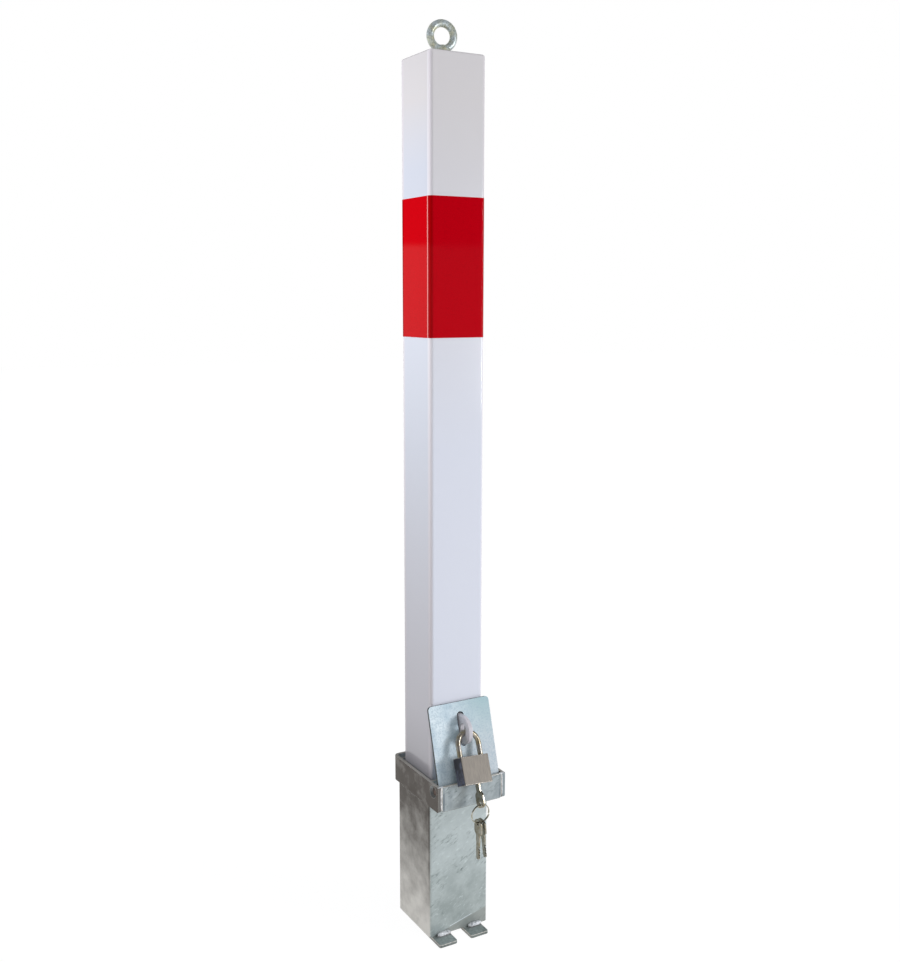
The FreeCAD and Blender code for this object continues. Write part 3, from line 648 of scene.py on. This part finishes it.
_, bolt_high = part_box("eyebolt")
eye_x = sum(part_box("washer")[i].x for i in (0, 1)) / 2
seat_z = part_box("lock_nut")[1].z
ring_centre = Vector((eye_x, 0, bolt_high.z - eye_outer / 2 * MM))
bm = bmesh.new()
bmesh.ops.create_circle(bm, segments=32, radius=(eye_outer - eye_inner) / 4 * MM)
bmesh.ops.translate(bm, verts=bm.verts, vec=((eye_outer + eye_inner) / 4 * MM, 0, 0))
bmesh.ops.spin(bm, geom=bm.verts[:] + bm.edges[:], cent=(0, 0, 0), axis=(0, 1, 0),
               dvec=(0, 0, 0), angle=math.tau, steps=96, use_merge=True)
bmesh.ops.translate(bm, verts=bm.verts, vec=ring_centre)
bmesh.ops.bisect_plane(bm, geom=bm.verts[:] + bm.edges[:] + bm.faces[:], dist=0,
                       plane_co=(0, 0, seat_z), plane_no=(0, 0, -1), clear_outer=True)
bmesh.ops.holes_fill(bm, edges=bm.edges, sides=0)
profile = [(0, -shank_length), (shank_r - shank_chamfer, -shank_length),
           (shank_r, shank_chamfer - shank_length), (shank_r, 0),
           (shoulder_r - shoulder_low_edge, 0), (shoulder_r, shoulder_low_edge),
           (shoulder_r, shoulder_h - shoulder_high_edge),
           (shoulder_r - shoulder_high_edge, shoulder_h),
           (neck_r, shoulder_h + neck_h), (0, shoulder_h + neck_h)]
turned = [bm.verts.new((eye_x + radius * MM, 0, seat_z + rise * MM)) for radius, rise in profile]
outline = [bm.edges.new(pair) for pair in zip(turned, turned[1:])]
bmesh.ops.spin(bm, geom=turned + outline, cent=(eye_x, 0, 0), axis=(0, 0, 1), dvec=(0, 0, 0),
               angle=math.tau, steps=48, use_merge=True)
bmesh.ops.remove_doubles(bm, verts=bm.verts, dist=weld_together)
bmesh.ops.recalc_face_normals(bm, faces=bm.faces)
bmesh.ops.rotate(bm, verts=bm.verts, cent=ring_centre,
                 matrix=Matrix.Rotation(math.radians(eye_turn_deg), 3, "Z"))
piece("lifting_eye", bm, zinc_plate, "post", ["eyebolt"])
for name, width in (("washer", 0.3), ("lock_nut", 0.5), ("cap_nut", 0.5)):
    piece(name + "_eased", eased(name, width), zinc_plate, "post", [name])


# Lid
# Steel plate rolled round the hinge pin at its foot, with a slot for the lug. Its zinc is
# pale blue and cloudy, painted greyer towards the right as shade, greener in the top right
# corner, and its cut edges are dark.
joints = {joint["name"]: joint for joint in frame["joints"]}
_, lid_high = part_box("lid_plate")
_, pin_y, pin_z = joints["lid_swing"]["pos_m"]
lid_lean = math.atan2(lid_high.y - pin_y, lid_high.z - pin_z)
lid_out = (0, -math.cos(lid_lean), math.sin(lid_lean))


def faces_along(tree, normal, axis):
    """Factor that is 1 where the surface faces an axis either way, and 0 where across it."""
    turn = node(tree, "ShaderNodeVectorMath", {0: normal, 1: axis}, operation="DOT_PRODUCT")
    return node(tree, "ShaderNodeMath", {0: turn.outputs["Value"]},
                operation="ABSOLUTE").outputs[0]


lid_zinc, tree, shader = surface("clouded_zinc_sheet", metallic=0.05, roughness=0.5,
                                 specular_ior_level=0.3)
place = node(tree, "ShaderNodeTexCoord").outputs
spot = place["Object"]
level = node(tree, "ShaderNodeSeparateXYZ", {0: spot}).outputs
sheet, _, _ = mottle(tree, spot, 30, (0.36, 0.64), "#C4D7DF", "#EAF6F9", detail=5, roughness=0.62)
# Painted shade: greyer towards the right.
sheet, right_shade_part = fades(tree, sheet, "#CAD0D2", level["X"], (-0.02, 0.04), (0.0, 0.7))
high_part = node(tree, "ShaderNodeMapRange", {
    0: level["Z"], 1: 0.04, 2: 0.11, 3: 0.0, 4: 1.3}).outputs[0]
sheet = laid_over(tree, sheet, "#A9C7C9", high_part, right_shade_part)
sheet, _, speck = mottle(tree, spot, 2.5, (0.46, 0.66), sheet, "#9DB6C1", detail=4,
                         share=(0.0, 0.45))
flat_part = faces_along(tree, place["Normal"], lid_out)
sheet, _ = fades(tree, sheet, "#2E2B29", flat_part, (0.7, 0.3), (0.0, 0.9))
tree.links.new(sheet, shader.inputs["Base Color"])
relief = node(tree, "ShaderNodeBump", {"Strength": 0.15, "Distance": 0.08 * MM, "Height": speck})
tree.links.new(relief.outputs[0], shader.inputs["Normal"])
cut_edge, _, _ = surface("lid_cut_edge", base_color=colour("#35312E"), metallic=0.3,
                         roughness=0.45)
piece("lid_plate_eased", eased("lid_plate", width=0.5), lid_zinc, "lid",
      ["lid_plate"], cut_edge)


# Padlock shackle
# Chrome plated round bar bent to a U, grey with yellowish worn places. The long heel leg stays
# in the case, and the short toe leg comes out of it.
shackle_d, shackle_spacing, shackle_rise, leg_end_edge = 8, 37, 36.4, 1
heel_in_case, toe_in_case = 28, 9
bow_r = shackle_spacing / 2 * MM
rim_angle = math.radians(60)
lock_up = Vector(joints["plug_turn"]["axis"])
lock_right = -Vector(joints["padlock_swing"]["axis"])
lock_back = lock_up.cross(lock_right)
lock_frame = Matrix((lock_right, lock_back, lock_up)).transposed().to_4x4()
lock_frame.translation = Vector(joints["padlock_swing"]["pos_m"])

chrome = clouded_metal("chrome_plated_bar", 7, (0.42, 0.6), "#B4AFA6", "#A89C80",
                       metallic=0.7, roughness=0.3)
bm = bmesh.new()
bmesh.ops.create_circle(bm, segments=32, radius=shackle_d / 2 * MM)
bmesh.ops.translate(bm, verts=bm.verts, vec=(bow_r, 0, -bow_r))
toe_edges = bm.edges[:]
spun = bmesh.ops.spin(bm, geom=bm.verts[:] + bm.edges[:], cent=(0, 0, -bow_r), axis=(0, -1, 0),
                      dvec=(0, 0, 0), angle=math.pi, steps=48, use_merge=False)
heel_edges = [item for item in spun["geom_last"] if isinstance(item, bmesh.types.BMEdge)]
for edges, depth in ((toe_edges, toe_in_case), (heel_edges, heel_in_case)):
    grown = bmesh.ops.extrude_edge_only(bm, edges=edges)["geom"]
    bmesh.ops.translate(bm, vec=(0, 0, bow_r - (shackle_rise + depth) * MM), verts=[
        item for item in grown if isinstance(item, bmesh.types.BMVert)])
bmesh.ops.holes_fill(bm, edges=bm.edges, sides=0)
broken(bm, [edge for edge in bm.edges if edge.calc_face_angle() > rim_angle], leg_end_edge)
bmesh.ops.recalc_face_normals(bm, faces=bm.faces)
bmesh.ops.transform(bm, matrix=lock_frame, verts=bm.verts)
piece("shackle_bar", bm, chrome, "shackle", ["shackle"])


# Lock case
# Solid block, satin plated and brushed on the faces. Its ends are painted dark as shade, with a
# painted bluish reflection in clouds, and its edges are rubbed bright. A small pin closes the bore
# in its left end.
lock_width, lock_height = 50, 42
side_pin_d, side_pin_length, side_pin_edge, side_pin_above_bottom = 5, 1, 0.3, 7
side_pin_out = 0.05
brush_size = 0.9  # coarser than the real brush marks, so that they show
brush_slope_deg, brush_stretch = -26, (1, 1, 14)

case_satin, tree, shader = surface("satin_plated_case", metallic=0.5, roughness=0.5)
place = node(tree, "ShaderNodeTexCoord").outputs
along_brush = node(tree, "ShaderNodeMapping", {
    "Vector": place["Object"], "Rotation": (math.radians(brush_slope_deg), 0, 0),
    "Scale": brush_stretch}, vector_type="TEXTURE").outputs[0]
face_tone, _, _ = mottle(tree, along_brush, brush_size, (0.35, 0.65), "#756F66", "#837C71")
# Painted shade and reflection: the ends are dark, with bluish clouds.
end_shade_tone, _, _ = mottle(tree, place["Object"], 16, (0.42, 0.58), "#33343D", "#626779", detail=2)
end_shade_part = faces_along(tree, place["Normal"], tuple(lock_right))
case_tone_and_shade, _ = fades(tree, face_tone, end_shade_tone, end_shade_part, (0.75, 0.97), (0.0, 0.9))
tree.links.new(case_tone_and_shade, shader.inputs["Base Color"])
bright_edge, _, _ = surface("polished_case_edge", base_color=colour("#BDB8AE"), metallic=0.5,
                            roughness=0.3)
piece("lock_case", eased("lock_body", width=0.5), case_satin, "lock",
      ["lock_body"], bright_edge)

bm = bmesh.new()
bmesh.ops.create_cone(bm, cap_ends=True, segments=32, radius1=side_pin_d / 2 * MM,
                      radius2=side_pin_d / 2 * MM, depth=side_pin_length * MM)
broken(bm, [edge for edge in bm.edges if edge.calc_face_angle() > rim_angle], side_pin_edge)
bmesh.ops.rotate(bm, verts=bm.verts, cent=(0, 0, 0), matrix=Matrix.Rotation(math.pi / 2, 3, "Y"))
bmesh.ops.translate(bm, verts=bm.verts, vec=Vector((
    -lock_width / 2 - side_pin_out, 0, -shackle_rise - lock_height + side_pin_above_bottom)) * MM)
bmesh.ops.transform(bm, matrix=lock_frame, verts=bm.verts)
piece("case_side_pin", bm, case_satin, "lock", [])


# Plug
# Turned brass core of the lock, seen end on in the case's lower edge, with the keyway in it.
# It is a bright metal with fine dull marks from the turning.
brass = clouded_metal("turned_brass", 1.2, (0.4, 0.6), "#C9A865", "#B08F52",
                      metallic=0.95, roughness=0.28)
piece("cylinder_plug_eased", eased("cylinder_plug", width=0.3), brass, "plug",
      ["cylinder_plug"])


# Keys
# Flat keys stamped from brass and nickel plated, one in the lock and two spare ones. The
# plating has worn thin, so that the brass shows through it in patches.
nickel = clouded_metal("worn_nickel_on_brass", 6, (0.4, 0.62), "#A7A397", "#918872", detail=4,
                       metallic=0.95, roughness=0.27)
for name, body in (("key_in_lock", "key"), ("spare_key_1", "spare_key_1"),
                   ("spare_key_2", "spare_key_2")):
    piece(name + "_eased", eased(name, width=0.25), nickel, body, [name])


# Split ring
# Spring steel wire wound twice round, so that a key can be worked on between the coils. It is
# nickel plated and a little dulled.
ring_mean_r, wire_radial, wire_axial, coil_pitch, coil_steps = 15, 1.6, 1.4, 1.5, 160
ring_tilt_deg, ring_start_deg, ring_gap_deg = 6, 14, 3
ring_steel = clouded_metal("nickel_plated_spring_wire", 5, (0.4, 0.6), "#C2C0B6", "#A3A18F",
                           detail=2, metallic=1.0, roughness=0.22)
bm = bmesh.new()
bmesh.ops.create_circle(bm, segments=12, radius=0.5)
bmesh.ops.scale(bm, verts=bm.verts, vec=(wire_radial * MM, wire_axial * MM, 1))
bmesh.ops.translate(bm, verts=bm.verts, vec=(ring_mean_r * MM, -coil_pitch * MM, 0))
bmesh.ops.rotate(bm, verts=bm.verts, cent=(0, 0, 0),
                 matrix=Matrix.Rotation(math.radians(ring_start_deg), 3, "Y"))
bmesh.ops.spin(bm, geom=bm.verts[:] + bm.edges[:], cent=(0, 0, 0), axis=(0, 1, 0),
               dvec=(0, 2 * coil_pitch * MM / coil_steps, 0), steps=coil_steps,
               angle=2 * math.tau - math.radians(ring_gap_deg), use_merge=False)
bmesh.ops.holes_fill(bm, edges=bm.edges, sides=0)
bmesh.ops.recalc_face_normals(bm, faces=bm.faces)
tilt = Matrix.Rotation(math.radians(ring_tilt_deg), 4, "X")
tilt.translation = (Vector(joints["ring_swing"]["pos_m"])
                    + tilt.to_3x3() @ Vector((0, 0, -ring_mean_r * MM)))
bmesh.ops.transform(bm, matrix=tilt, verts=bm.verts)
piece("split_ring", bm, ring_steel, "ring", ["key_ring"])
